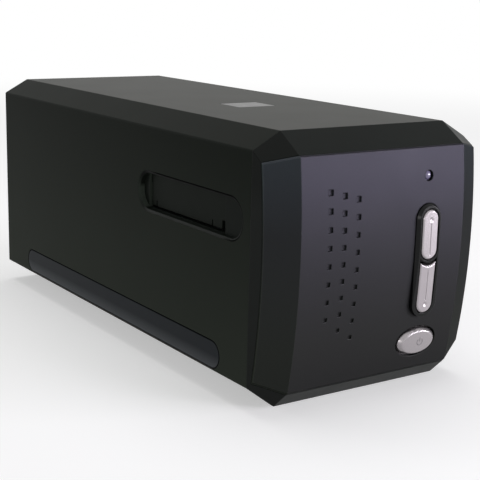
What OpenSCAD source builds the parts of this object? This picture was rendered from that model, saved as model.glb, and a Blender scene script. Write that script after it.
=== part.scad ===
// Desktop film negative scanner: a long eight-sided housing on a tray, a bowed
// front face with three buttons, a film slot with a sprung dust door on each side,
// and a scan carriage that runs on two rods under and over the film.
// +X is the right side seen from the front, -Y the front, +Z up; the origin is on
// the surface that the feet stand on, under the middle of the body. Millimetres.

/* [Body] */
// Width across the sides
body_w = 116; // [114:0.5:118]
// Depth from the most forward line of the face to the back
body_d = 272; // [270:1:276]
// Height from the surface under the feet to the top
body_h = 119; // [118:0.5:121]
// Height of the rubber feet below the tray
foot_h = 1.5; // [1:0.1:2]
// Wall thickness of the mouldings
wall = 2.2; // [2:0.1:2.4]
// Width of the sloping shoulder between a side and the top
shoulder_w = 13.5; // [12:0.5:15]
// Height of the sloping shoulder
shoulder_h = 7.4; // [6.5:0.1:8]
// Height of the lower edge of the sides
skirt_z = 11.5; // [11:0.1:12]
// Width of the flat underside
base_w = 80; // [76:1:84]
// Radius of the soft edges along the housing
edge_r = 1; // [0.6:0.1:1.4]

/* [Front] */
// Where the front bezel meets the housing
seam_y = -119.3; // [-120:0.1:-118.5]
// Radius of the bow of the face, seen from the side
bow_r = 319; // [300:1:340]
// Height of the most forward line of the face
bow_z = 71; // [68:1:74]
// Height of the upper edge of the face panel
brow_z = 110.1; // [109.5:0.1:111]
// Height of the lower edge of the face panel
chin_z = 10.1; // [9.5:0.1:11]
// Where the underside of the bezel ends
keel_y = -121.1; // [-121.5:0.1:-120.5]
// Width of the underside of the bezel
keel_w = 90; // [88:1:92]
// Thickness of the painted face panel
panel_t = 1.8; // [1.6:0.1:2]

/* [Film slot] */
// Length of the rounded recess in each side
recess_len = 89.1; // [88:0.1:90]
// Height of the rounded recess
recess_h = 19.6; // [19:0.1:20]
// Middle of the recess, front to back
recess_y = -69.65; // [-70:0.05:-69]
// Height of the middle of the recess
recess_z = 81.4; // [81:0.1:82]
// Depth of the recess below the side
recess_depth = 2.5; // [2.3:0.1:2.7]
// Width of the mouth that the film holder goes through
mouth_w = 65.5; // [64:0.5:66]
// Middle of the mouth, front to back
mouth_y = -64.3; // [-64.6:0.1:-64]
// Height of the sill of the mouth
mouth_z = 73.3; // [73.2:0.1:73.4]
// Height of the pivot of the dust doors
door_pivot_z = 87.1; // [87:0.1:87.2]

/* [Controls] */
// Column that the light and the buttons share
column_x = 23.8; // [23:0.1:24.5]
// Height of the power light
light_z = 98; // [96:0.5:100]
// Width of the dark collar around the scan buttons
surround_w = 13.9; // [13.6:0.1:14.2]
// Height of the dark collar
surround_h = 51.1; // [50.8:0.1:51.4]
// Height of the middle of the collar
surround_z = 60.55; // [60.4:0.05:60.7]
// How far the collar stands proud of the face
collar_proud = 1.8; // [1.5:0.1:2]
// Width of a scan button
button_w = 8.6; // [8.4:0.1:8.8]
// How far the scan buttons stand proud of the face
button_proud = 2.3; // [2.1:0.1:2.5]
// Travel of a button
button_travel = 0.8; // [0.6:0.1:0.8]
// Width of the oval power button
power_w = 21.2; // [20.6:0.1:21.6]
// Height of the oval power button
power_h = 12.4; // [12:0.1:12.6]
// Height of the middle of the power button
power_z = 23; // [22.5:0.1:23.5]
// How far the power button stands proud of the face
power_proud = 1.6; // [1.2:0.1:1.8]

/* [Drive] */
// Module of the gear teeth
gear_module = 0.7; // [0.7:0.7:0.7]
// Teeth on the gear of the drive pulley
gear_teeth = 42; // [42:1:42]
// Teeth on the motor pinion
pinion_teeth = 14; // [14:1:14]
// Radius of the belt's inner face on the pulleys
belt_r = 7; // [6.8:0.1:7.2]
// Travel of the scan carriage
carriage_travel = 32; // [28:1:32]
// Where the scan line stands at rest
scan_y = -46; // [-47:0.5:-45]

/* [Hidden] */

$fn = 48;
shell_black = "#26262a";
paint_plum = "#4d4955";
moulding_black = "#1b1b1d";
satin_silver = "#b9b3b3";
board_green = "#2f5a3c";
steel = "#9a9da1";
plain_grey = "#6b6a68";
rubber_black = "#141414";

half_w = body_w / 2;
rear_y = body_d / 2;
front_y = -body_d / 2;
gap = 0.3;
shoulder_k = shoulder_h / shoulder_w;
shoulder_stretch = sqrt(1 + pow(shoulder_k, 2));
keel_k = (skirt_z - foot_h) / (half_w - base_w / 2);
keel_stretch = sqrt(1 + pow(keel_k, 2));
bow_axis_y = front_y + bow_r;
face_half_w = half_w - shoulder_w;
brow_y = front_y + bow(brow_z);
chin_y = front_y + bow(chin_z);
brow_pitch = atan((body_h - brow_z) / (seam_y - brow_y));
shoulder_angle = atan(shoulder_k);
corner_pitch = atan((body_h - brow_z) * cos(shoulder_angle) / (seam_y - brow_y));
chin_k = (chin_z - foot_h) / (keel_y - chin_y);
panel_half_w = half_w - 1.2;
bezel_wall = 2;
face_inset = 1.2;
face_gap = 0.25;
lip_t = 0.7;
lip_inset = 0.08;
lip_gap = 0.1;

slot_back_x = half_w - recess_depth - 2;
door_x = half_w - 5.8;
door_t = 1.5;
door_bottom = mouth_z + 1;
door_top = door_pivot_z + 1.9;
door_w = mouth_w - 1.8;
hinge_pin_r = 1;
knuckle_r = 2.2;
coil_r = 1.4;
coil_len = 14;
coil_wire_r = 0.25;
running_gap = 0.04;

board_y = -113.6;
board_t = 1.6;
switch_top_y = board_y - 4.6;
surround_floor = 3.2;
button_gap = 0.6;
split_z = 61.5;
button_top_z = 83.4;
button_foot_z = 37.2;
nest_z = split_z + button_w / 2;
nest_r = 7.05;

chassis_half_w = 52.6;
chassis_floor = 7.5;
chassis_top = 70.3;
chassis_front = -108;
chassis_back = 118.5;
rod_x = 44;
rod_z = 30;
rod_r = 3;
bush_r = 5;
guide_floor_z = 73;
tub_half_w = 38;
tub_z = 22;
tub_top = 64;
tub_front = scan_y - 12;
tub_back = 82;
optic_z = 44;
arm_z = 91;
arm_half_w = 26;

belt_z = 14;
belt_w = 5.5;
belt_t = 1.2;
pulley_y = 80;
idler_y = -94;
pinion_y = pulley_y + gear_module * (gear_teeth + pinion_teeth) / 2;
motor_r = 15;
motor_z = 22;
deck_z = 76;

// ---- functions ----

// Setback of the bowed face at a height
function bow(z) = bow_r - sqrt(pow(bow_r, 2) - pow(z - bow_z, 2));

// Angle of a height on the bow, seen from the bow's centre
function bow_angle(z) = asin((z - bow_z) / bow_r);

function unit(v) = v / norm(v);

// Rounds every corner of a convex outline with a short arc
function soften(points, r, steps = 3) = [
    for (i = [0 : len(points) - 1])
        let (
            before = unit(points[(i + len(points) - 1) % len(points)] - points[i]),
            after = unit(points[(i + 1) % len(points)] - points[i]),
            half_turn = acos(before * after) / 2,
            middle = points[i] + unit(before + after) * r / sin(half_turn),
            start = points[i] + before * r / tan(half_turn),
            end = points[i] + after * r / tan(half_turn)
        )
        for (s = [0 : steps])
            middle + r * unit(start + (end - start) * s / steps - middle)
];

// Side and shoulder points of the housing, moved in by an inset, right side
function shoulder_points(inset) = [
    [half_w - inset, body_h - shoulder_h + inset * (shoulder_k - shoulder_stretch)],
    [half_w - (shoulder_h + inset * (shoulder_stretch - 1)) / shoulder_k, body_h - inset]
];

// Lower points of the housing, moved in by an inset, right side
function keel_points(inset, half_base = base_w / 2) =
    let (k = (skirt_z - foot_h) / (half_w - half_base), stretch = sqrt(1 + k * k))
    [
        [half_base + inset * (1 - stretch) / k, foot_h + inset],
        [half_w - inset, skirt_z + inset * (stretch - k)]
    ];

function mirrored(points) = [
    for (i = [len(points) - 1 : -1 : 0]) [-points[i][0], points[i][1]]
];

// Whole eight-sided outline of the housing
function ring_outline(inset, half_base = base_w / 2) =
    let (right = concat(keel_points(inset, half_base), shoulder_points(inset)))
    concat(right, mirrored(right));

// Oval outline
function oval(w, h, steps = 48) = [
    for (i = [0 : steps - 1]) [cos(360 * i / steps) * w / 2, sin(360 * i / steps) * h / 2]
];

// Involute gear outline; slack thins each tooth at the pitch circle
function gear_outline(teeth, slack = 0.1, pressure = 25) =
    let (
        pitch_r = gear_module * teeth / 2,
        base_r = pitch_r * cos(pressure),
        tip_r = pitch_r + 0.9 * gear_module,
        root_r = pitch_r - 1.15 * gear_module,
        start_r = max(base_r, root_r),
        half_tooth = 90 / teeth - slack / 2 / pitch_r * 180 / PI,
        flank = [
            for (s = [0 : 4])
                let (
                    r = start_r + (tip_r - start_r) * s / 4,
                    roll = acos(base_r / r),
                    drift = (tan(roll) - tan(pressure)) * 180 / PI - (roll - pressure)
                )
                [r, half_tooth - drift]
        ]
    )
    [
        for (i = [0 : teeth - 1])
            let (middle = 360 * i / teeth)
            each concat(
                [polar(root_r, middle - 180 / teeth)],
                [polar(root_r, middle - flank[0][1])],
                [for (p = flank) polar(p[0], middle - p[1])],
                [for (s = [4 : -1 : 0]) polar(flank[s][0], middle + flank[s][1])],
                [polar(root_r, middle + flank[0][1])]
            )
    ];

function polar(r, a) = [r * cos(a), r * sin(a)];

// ---- shared shapes ----

// Extrudes an outline drawn in X and Z from y0 back to y1
module front_slab(y0, y1) {
    translate([0, y1, 0]) rotate([90, 0, 0]) linear_extrude(y1 - y0) children();
}

// Extrudes an outline drawn in Y and Z from x0 to x1
module side_slab(x0, x1) {
    translate([x0, 0, 0]) rotate([90, 0, 90]) linear_extrude(x1 - x0) children();
}

// Box from its lowest to its highest corner
module block(low, high) {
    translate(low) cube(high - low);
}

// Round bar along Y
module bar_y(x, z, r, y0, y1) {
    translate([x, y1, z]) rotate([90, 0, 0]) cylinder(r = r, h = y1 - y0);
}

// Upright pin
module pin_z(x, y, r, z0, z1) {
    translate([x, y, z0]) cylinder(r = r, h = z1 - z0);
}

// Oblong with round ends, along the first axis of the drawing
module pill(length, height) {
    square([length - height, height], center = true);
    for (s = [-1, 1])
        translate([s * (length - height) / 2, 0]) circle(d = height);
}

// Oblong body along X between two end centres; its side is a list of points of
// distance from the middle line and height, from the bottom to the top
module pill_body(straight, side) {
    low = side[0][1];
    high = side[len(side) - 1][1];
    for (s = [-1, 1])
        translate([s * straight / 2, 0, 0])
            rotate_extrude() polygon(concat([[0, low]], side, [[0, high]]));
    translate([-straight / 2, 0, 0]) rotate([90, 0, 90]) linear_extrude(straight)
        polygon(concat(side, mirrored(side)));
}

// Upright pill in front view, cut from y0 back to y1
module front_pill(x, z, w, h, y0, y1) {
    front_slab(y0, y1) translate([x, z]) rotate(90) pill(h, w);
}

// Sweeps a section along the bow of the face. The section is drawn with
// its first axis measured from the bow's centre and its second along X.
module bowed() {
    sweep = 14;
    translate([0, bow_axis_y, bow_z]) rotate([90, 0, -90]) rotate([0, 0, -sweep])
        rotate_extrude(angle = 2 * sweep, $fn = 180) children();
}

// Sets a shape on the face at a height, with its Z axis out of the face
module on_face(x, z) {
    translate([x, front_y + bow(z), z]) rotate([90 - bow_angle(z), 0, 0]) children();
}

// Layer of the bowed face between two setbacks from its surface
module bowed_layer(near, far, width = body_w + 10) {
    bowed() translate([bow_r - far, -width / 2]) square([far - near, width]);
}

// Plan of the face and its two side facets, moved back by a setback
module face_plan(setback, half_width = half_w) {
    facet_y = front_y + setback * shoulder_stretch;
    corner_x = face_half_w - setback * (shoulder_stretch - 1) / shoulder_k;
    side_y = facet_y + (half_width - face_half_w) * shoulder_k;
    plan = [
        [-half_width, seam_y + 12], [-half_width, side_y],
        [-corner_x, front_y + setback], [corner_x, front_y + setback],
        [half_width, side_y], [half_width, seam_y + 12]
    ];
    polygon([for (p = plan) [bow_axis_y - p[1], p[0]]]);
}

// Space in front of the seam under the brow and over the chin, less an inset
module nose_trim(inset = 0, back_y = seam_y) {
    brow_drop = inset / cos(brow_pitch);
    chin_lift = inset * sqrt(1 + pow(chin_k, 2));
    far = 25;
    difference() {
        side_slab(-half_w - 5, half_w + 5) polygon([
            [back_y, foot_h + inset], [back_y, body_h - inset],
            [seam_y, body_h - inset],
            [seam_y - far, body_h - brow_drop - far * tan(brow_pitch)],
            [seam_y - far, foot_h + chin_lift + (keel_y - seam_y + far) * chin_k],
            [keel_y + (chin_lift - inset) / chin_k, foot_h + inset]
        ]);
        for (side = [-1, 1]) {
            brow_corner_cut(side, inset);
            chin_corner_cut(side, inset);
        }
    }
}

// Half space above the facet between brow, shoulder and side facet
module brow_corner_cut(side, inset) {
    drop = inset / cos(corner_pitch) / cos(shoulder_angle);
    translate([side * face_half_w, seam_y - 0.05, body_h - drop])
        rotate([0, side * shoulder_angle, 0]) rotate([corner_pitch, 0, 0])
            translate([-40, -60, 0]) cube([80, 60, 40]);
}

// Half space under the facet between chin, keel and side facet: its plane runs
// through the keel's end, the lower corner of the face and the side's lower edge
module chin_corner_cut(side, inset) {
    keel = [keel_w / 2, keel_y, foot_h];
    chin = [face_half_w, chin_y, chin_z] - keel;
    skirt = [half_w, seam_y, skirt_z - 0.3] - keel;
    normal = unit(cross(chin, skirt));
    out = normal[2] > 0 ? -normal : normal;
    mirror([side < 0 ? 1 : 0, 0, 0])
        translate(keel - out * inset)
            rotate([0, acos(out[2]), atan2(out[1], out[0])])
                translate([-60, -60, 0]) cube([120, 120, 40]);
}

// The bezel's whole outer form, or its hollow when it is inset
module nose(inset, setback, back_y = seam_y) {
    intersection() {
        front_slab(front_y - 5, back_y)
            polygon(soften(ring_outline(inset, keel_w / 2), edge_r));
        nose_trim(inset, back_y);
        bowed() face_plan(setback, half_w + 5);
    }
}

// Painted face with its side facets; a thin lip all round laps over the bezel
module face_shell() {
    intersection() {
        bowed() difference() {
            face_plan(0, half_w - lip_inset);
            face_plan(lip_t, half_w + 5);
        }
        nose_trim(lip_inset);
    }
    intersection() {
        bowed() difference() {
            face_plan(lip_t / 2, panel_half_w);
            face_plan(panel_t, half_w + 5);
        }
        nose_trim(face_inset);
    }
}

// Seat of the painted face, open towards the front
module face_seat() {
    intersection() {
        bowed() difference() {
            face_plan(-4, panel_half_w + face_gap);
            face_plan(panel_t + face_gap / 2, half_w + 5);
        }
        nose_trim(face_inset - face_gap);
    }
}

// Points of a helix about Z
function helix(radius, turns, height, per_turn = 12) = [
    for (i = [0 : turns * per_turn])
        let (a = 360 * i / per_turn)
        [radius * cos(a), radius * sin(a), height * i / turns / per_turn]
];

// Round wire through the points of a path that never runs along Z
module wire(path, wire_r, sides = 6) {
    last = len(path) - 1;
    points = [
        for (i = [0 : last])
            let (
                along = unit(path[min(i + 1, last)] - path[max(i - 1, 0)]),
                u = unit(cross(along, [0, 0, 1])),
                v = cross(along, u)
            )
            for (j = [0 : sides - 1])
                path[i] + wire_r * (u * cos(360 * j / sides) + v * sin(360 * j / sides))
    ];
    polyhedron(points, concat(
        [[for (j = [0 : sides - 1]) j]],
        [[for (j = [sides - 1 : -1 : 0]) last * sides + j]],
        [
            for (i = [0 : last - 1], j = [0 : sides - 1], half = [0, 1])
                let (k = (j + 1) % sides, here = i * sides, there = here + sides)
                half == 0 ? [here + j, there + j, there + k] : [here + j, there + k, here + k]
        ]
    ));
}

// Pan-head screw along -Z with its head's top at the origin
module screw(head_r, head_h, shank_r, length) {
    difference() {
        union() {
            translate([0, 0, -head_h]) cylinder(r = head_r, h = head_h);
            translate([0, 0, -length]) cylinder(r = shank_r, h = length);
        }
        for (a = [0, 90])
            rotate(a) translate([-head_r * 0.6, -0.3, -0.8]) cube([head_r * 1.2, 0.6, 1]);
    }
}

// ---- housing ----

case_screw_places = [for (x = [-34, 34], y = [-88, 96]) [x, y]];
foot_places = [for (x = [-31, 31], y = [-104, 118]) [x, y]];
rear_screw_places = [for (x = [-50, 50], z = [22, 100]) [x, z]];

module base_tray() color(shell_black) {
    flange = [[half_w - wall, skirt_z], [half_w - wall, 17.5], [half_w - 2 * wall, 17.5]];
    inner = keel_points(wall);
    inner_side_z = inner[1][1] - wall * keel_k;
    right = concat(
        [[base_w / 2, foot_h], [half_w, skirt_z]], flange,
        [[half_w - 2 * wall, inner_side_z], inner[0]]
    );
    difference() {
        union() {
            front_slab(seam_y, rear_y) polygon(concat(right, mirrored(right)));
            for (p = case_screw_places) pin_z(p[0], p[1], 4.5, foot_h, 5.5);
            for (y = [-60 : 30 : 60])
                block([-38, y - 0.8, foot_h + 1], [38, y + 0.8, 4.9]);
        }
        for (p = case_screw_places) {
            pin_z(p[0], p[1], 1.7, 0, 10);
            pin_z(p[0], p[1], 3.4, 0, 3.4);
        }
        for (p = foot_places) pin_z(p[0], p[1], 6.4, 0, foot_h + 1);
    }
}

module rubber_feet() color(rubber_black) {
    for (p = foot_places)
        translate([p[0], p[1], 0])
            rotate_extrude() polygon([[0, 0], [5.4, 0], [6, 0.6], [6.2, 2.5], [0, 2.5]]);
}

module case_screws() color(steel) {
    for (p = case_screw_places)
        translate([p[0], p[1], 1.7]) mirror([0, 0, 1]) screw(3, 1.7, 1.45, 8.2);
}

module housing_cover() color(shell_black) {
    right = concat([[half_w, skirt_z]], shoulder_points(0));
    hollow = concat([[half_w - wall, skirt_z - 1]], shoulder_points(wall));
    difference() {
        union() {
            difference() {
                front_slab(seam_y, rear_y) polygon(soften_upper(concat(right, mirrored(right))));
                front_slab(seam_y - 1, rear_y + 1) polygon(concat(hollow, mirrored(hollow)));
            }
            // stiffening ribs under the roof
            for (y = [-96, -4, 34, 72])
                block([-40, y - 0.8, body_h - wall - 4], [40, y + 0.8, body_h - wall + 0.5]);
            // posts for the rear panel's screws
            for (p = rear_screw_places)
                bar_y(sign(p[0]) * (half_w - 5.2), p[1], 3.6, rear_y - 14, rear_y - 3.4);
        }
        for (side = [-1, 1]) {
            translate([side * half_w, 0, 0]) side_slab(-wall - 1, wall + 1)
                translate([recess_y, recess_z]) pill(recess_len + 0.1, recess_h + 0.1);
            translate([side * half_w, grip_y, grip_z]) side_slab(-grip_depth, grip_depth)
                pill(grip_len + 2 * gap, grip_h + 2 * gap);
        }
        for (p = rear_screw_places)
            bar_y(sign(p[0]) * (half_w - 5.2), p[1], 1.3, rear_y - 12, rear_y);
        block(badge_low - [gap, gap, 0], badge_high + [gap, gap, 1]);
    }
}

// Softens the upper corners of the cover's outline and leaves its open lower edge
function soften_upper(points) = [
    for (i = [0 : len(points) - 1])
        each (points[i][1] > skirt_z
            ? [for (s = [0 : 3]) soften(points, edge_r)[i * 4 + s]]
            : [points[i]])
];

grip_len = 205;
grip_h = 12.6;
grip_y = 4.4;
grip_z = 18.5;
grip_depth = 1.3;
module grip_inlay(side) color(paint_plum) {
    translate([side * (half_w - grip_depth / 2), grip_y, grip_z])
        side_slab(-grip_depth / 2, grip_depth / 2) pill(grip_len, grip_h);
}
module left_grip_inlay() grip_inlay(-1);
module right_grip_inlay() grip_inlay(1);

badge_low = [-11.4, -39.8, body_h - 0.8];
badge_high = [9.4, -22.8, body_h];
module top_badge_plate() color(plain_grey) {
    block(badge_low, badge_high);
}

module rear_panel() color(shell_black) {
    outline = ring_outline(wall + 0.15);
    difference() {
        union() {
            front_slab(rear_y - 3.4, rear_y - 1.2) polygon(outline);
            // stiffening frame on the inner face
            difference() {
                front_slab(rear_y - 6, rear_y - 3.4) polygon(ring_outline(wall + 9));
                front_slab(rear_y - 7, rear_y - 3) polygon(ring_outline(wall + 11));
            }
        }
        block([usb_x - 6.2, rear_y - 9, usb_z - 5.7], [usb_x + 6.2, rear_y, usb_z + 5.7]);
        bar_y(power_x, usb_z, 4.6, rear_y - 9, rear_y);
        for (p = rear_screw_places)
            bar_y(sign(p[0]) * (half_w - 5.2), p[1], 1.7, rear_y - 9, rear_y);
        flange_room();
    }
}

// Room for the tray's upright flanges where they pass the rear panel
module flange_room() {
    for (side = [-1, 1])
        translate([side * (half_w - 1.5 * wall), 0, 0])
            block([-wall / 2 - 0.15, rear_y - 9, 9], [wall / 2 + 0.15, rear_y + 1, 17.7]);
}

module rear_screws() color(steel) {
    for (p = rear_screw_places)
        translate([sign(p[0]) * (half_w - 5.2), rear_y, p[1]])
            rotate([-90, 0, 0]) screw(2.6, 1.2, 1.3, 10);
}

// ---- front ----

module control_cuts() {
    front_pill(column_x, surround_z, surround_w, surround_h, front_y - 5, seam_y + 5);
    front_slab(front_y - 5, seam_y + 5) translate([column_x, power_z])
        polygon(oval(power_w + 2.2, power_h + 2));
    bar_y(column_x, light_z, light_hole_r, front_y - 5, seam_y + 5);
}

module front_bezel() color(moulding_black) {
    difference() {
        union() {
            difference() {
                nose(0, lip_t + lip_gap);
                nose(wall, panel_t + bezel_wall, seam_y + 6);
            }
            // tongue that slips inside the cover
            difference() {
                union() {
                    front_slab(seam_y - 2, seam_y) polygon(ring_outline(wall - 0.6));
                    front_slab(seam_y - 2, seam_y + 3) polygon(ring_outline(wall + 0.15));
                }
                front_slab(seam_y - 4, seam_y + 5) polygon(ring_outline(wall + 1.7));
                block([-half_w, seam_y - 5, 0], [half_w, seam_y + 6, 20]);
            }
            // posts that carry the button board
            for (x = [column_x - 13, column_x + 13], z = [32, 94])
                bar_y(x, z, 2.6, board_y - 20, board_y);
        }
        face_seat();
        control_cuts();
        for (x = [column_x - 13, column_x + 13], z = [32, 94])
            bar_y(x, z, 1.1, board_y - 8, board_y + 1);
    }
}

// Columns of square dimples: X, height of the top one, count and spacing
dimple_columns = [[-29.7, 94.8, 8, 7.69], [-22.4, 92.9, 9, 7.2], [-15.1, 91, 9, 7.49]];
dimple_depth = 0.8;
module front_panel() color(paint_plum) {
    difference() {
        face_shell();
        control_cuts();
        intersection() {
            bowed_layer(-2, dimple_depth);
            for (column = dimple_columns, i = [0 : column[2] - 1])
                let (z = column[1] - i * column[3], size = 1.7 + 0.8 * (z - 30) / 65)
                    block(
                        [column[0] - size / 2, front_y - 3, z - size / 2],
                        [column[0] + size / 2, front_y + 9, z + size / 2]
                    );
        }
    }
}

module button_surround() color(moulding_black) {
    half = (surround_w - 0.1) / 2;
    behind = panel_t + bezel_wall + 0.05;
    difference() {
        union() {
            intersection() {
                translate([column_x, front_y, surround_z]) rotate([90, 0, 0]) rotate(90)
                    pill_body(surround_h - surround_w, [
                        [half, -8], [half, collar_proud - 1.5],
                        [half - 1.4, collar_proud + 0.25]
                    ]);
                bowed_layer(-collar_proud, surround_floor + 1.2);
            }
            intersection() {
                front_pill(column_x, surround_z, surround_w + 4, surround_h + 4, front_y - 5, seam_y);
                bowed_layer(behind, behind + 1.35);
            }
        }
        // pockets of the two buttons, with an arch between them
        intersection() {
            union() {
                front_pill(
                    column_x, (button_top_z + split_z) / 2, button_w + 2 * button_gap,
                    button_top_z - split_z + 2 * button_gap, front_y - 5, seam_y
                );
                difference() {
                    front_pill(
                        column_x, (nest_z + button_foot_z) / 2, button_w + 2 * button_gap,
                        nest_z - button_foot_z + 2 * button_gap, front_y - 5, seam_y
                    );
                    bar_y(column_x, nest_z, nest_r - button_gap - 0.55, front_y - 6, seam_y + 1);
                }
            }
            bowed_layer(-5, surround_floor);
        }
        for (z = scan_button_z) button_stem(z, 0.35, -5);
    }
}

scan_button_z = [(button_top_z + split_z) / 2, (split_z + button_foot_z) / 2 - 1];

// Stem of a scan button from inside its cap back to its switch
module button_stem(z, clearance, back_gap) {
    block(
        [column_x - 2.4 - clearance, front_y + bow(z) + 1.2, z - 6 - clearance],
        [column_x + 2.4 + clearance, switch_top_y - back_gap, z + 6 + clearance]
    );
}

// Cap of a scan button between the heights of its end centres. Its front falls away
// a little to both sides of a fine groove, which ends beside a round dimple.
module button_cap(low, high, dot_z, groove) {
    fall = 0.3;
    edge = 0.45;
    half = button_w / 2;
    middle = (low + high) / 2;
    back = surround_floor - button_travel - 0.2;
    shoulder = button_proud - fall - edge;
    on_face(column_x, middle) difference() {
        rotate(90) pill_body(high - low, [
            [half, -back], [half, shoulder], [half - edge - 1, shoulder + edge + 1]
        ]);
        rotate([90, 0, 0]) linear_extrude(60, center = true) polygon([
            [-9, button_proud + 4], [-9, button_proud - fall * 9 / half], [0, button_proud],
            [9, button_proud - fall * 9 / half], [9, button_proud + 4]
        ]);
        translate([0, dot_z - middle, button_proud + 1.2]) sphere(r = 1.65);
        block([-0.16, groove[0] - middle, button_proud - 0.2], [0.16, groove[1] - middle, button_proud + 1]);
    }
}

// Stem with the hooks that hold the button behind the floor of its surround
module button_tail(z) {
    button_stem(z, 0, button_travel + 0.1);
    block([column_x - 2.4, front_y + 7, z - 7.2], [column_x + 2.4, front_y + 8.4, z + 7.2]);
}

module upper_scan_button() color(satin_silver) {
    button_cap(nest_z, button_top_z - button_w / 2, 79.1, [63.5, 77.4]);
    button_tail(scan_button_z[0]);
}

// The lower button's upper end is hollowed to nest around the upper button
module lower_scan_button() color(satin_silver) {
    front = front_y + bow(nest_z - nest_r) - button_proud;
    difference() {
        button_cap(button_foot_z + button_w / 2, nest_z, 41.2, [43, 57]);
        bar_y(column_x, nest_z, nest_r, front_y - 6, seam_y + 1);
        translate([column_x, front - 1, nest_z]) rotate([-90, 0, 0])
            cylinder(r1 = nest_r + 1.6, r2 = nest_r, h = 1.6);
    }
    button_tail(scan_button_z[1]);
}

module power_button() color(satin_silver) {
    behind = panel_t + bezel_wall + 0.05;
    bevel = [
        [0, -3], [1.2, -3], [1.01, -0.3], [0.975, 0.25], [0.875, power_proud - 0.25],
        [0.835, power_proud], [0, power_proud]
    ];
    intersection() {
        oval_bar(power_w, power_h);
        bowed_layer(0.6, behind + 1);
    }
    intersection() {
        oval_bar(power_w, power_h);
        on_face(column_x, power_z) scale([power_w / 2, power_h / 2, 1])
            rotate_extrude() polygon(bevel);
    }
    intersection() {
        oval_bar(power_w + 4, power_h + 4);
        bowed_layer(behind, behind + 1.2);
    }
    block(
        [column_x - 2.5, front_y + bow(power_z) + behind, power_z - 2.5],
        [column_x + 2.5, switch_top_y - button_travel - 0.1, power_z + 2.5]
    );
}

// Oval bar along Y through the place of the power button
module oval_bar(w, h) {
    front_slab(front_y - 5, seam_y) translate([column_x, power_z]) polygon(oval(w, h));
}

// The lens is sunk a little in its hole, with a dark gap around it
light_hole_r = 2.4;
module power_light() color("#8d86a8") {
    lens_r = 2.05;
    dome = 1;
    dome_r = lens_r - 0.15;
    tip_y = front_y + bow(light_z) + 0.15;
    round_r = (pow(dome_r, 2) + pow(dome, 2)) / 2 / dome;
    bar_y(column_x, light_z, lens_r, tip_y + dome, board_y);
    intersection() {
        translate([column_x, tip_y + round_r, light_z]) sphere(r = round_r);
        bar_y(column_x, light_z, lens_r, tip_y - 1, tip_y + dome + 0.1);
    }
}

module button_board() color(board_green) {
    difference() {
        block([column_x - 16, board_y, 16], [column_x + 16, board_y + board_t, 102]);
        for (x = [column_x - 13, column_x + 13], z = [32, 94])
            bar_y(x, z, 1.3, board_y - 1, board_y + 3);
    }
    block([column_x - 13, board_y + board_t, 44], [column_x - 4, board_y + board_t + 4, 64]);
}

module button_switches() color(steel) {
    for (z = concat(scan_button_z, [power_z])) {
        block([column_x - 3, board_y - 3.5, z - 3], [column_x + 3, board_y, z + 3]);
        bar_y(column_x, z, 1.7, switch_top_y, board_y - 3);
    }
}

// ---- film slot ----

// A slot frame is drawn for the right side and mirrored for the left
module slot_frame() {
    floor_x = half_w - recess_depth;
    inner_x = slot_back_x;
    // the recess narrows over a flat bevel and a steeper flank
    bevel_w = 1.2;
    bevel_depth = 0.45;
    flank_w = 0.4;
    // the mouth's upper edge reaches down before the door's tail and is relieved behind it
    relief_x = door_x + knuckle_r + 0.05;
    difference() {
        union() {
            side_slab(inner_x, half_w) translate([recess_y, recess_z]) pill(recess_len, recess_h);
            // flange behind the wall of the cover
            side_slab(inner_x, half_w - wall - 0.05) translate([recess_y, recess_z])
                pill(recess_len + 3.6, recess_h + 5);
            for (end = [-1, 1]) hinge_ear(end);
        }
        translate([half_w, recess_y, recess_z]) rotate([90, 0, 90])
            pill_body(recess_len - recess_h, [
                [recess_h / 2 - bevel_w - flank_w, -recess_depth],
                [recess_h / 2 - bevel_w, -bevel_depth], [recess_h / 2 + bevel_w, bevel_depth]
            ]);
        block(
            [inner_x - 1, mouth_y - mouth_w / 2, mouth_z],
            [half_w, mouth_y + mouth_w / 2, door_top + 0.25]
        );
        block(
            [inner_x - 1, mouth_y - mouth_w / 2, door_pivot_z],
            [relief_x, mouth_y + mouth_w / 2, door_pivot_z + 2.8]
        );
        bar_y(door_x, door_pivot_z, hinge_pin_r, mouth_y - 50, mouth_y + 50);
    }
}

// Ear beside the mouth that holds one end of the hinge pin
module hinge_ear(end) {
    ear_y = mouth_y + end * (mouth_w / 2 + 1.3);
    block([door_x, ear_y - 1.2, door_pivot_z - 5], [half_w - 4, ear_y + 1.2, door_pivot_z + 2.4]);
    bar_y(door_x, door_pivot_z, 2.4, ear_y - 1.2, ear_y + 1.2);
}

module left_slot_frame() color(shell_black) mirror([1, 0, 0]) slot_frame();
module right_slot_frame() color(shell_black) slot_frame();

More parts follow.
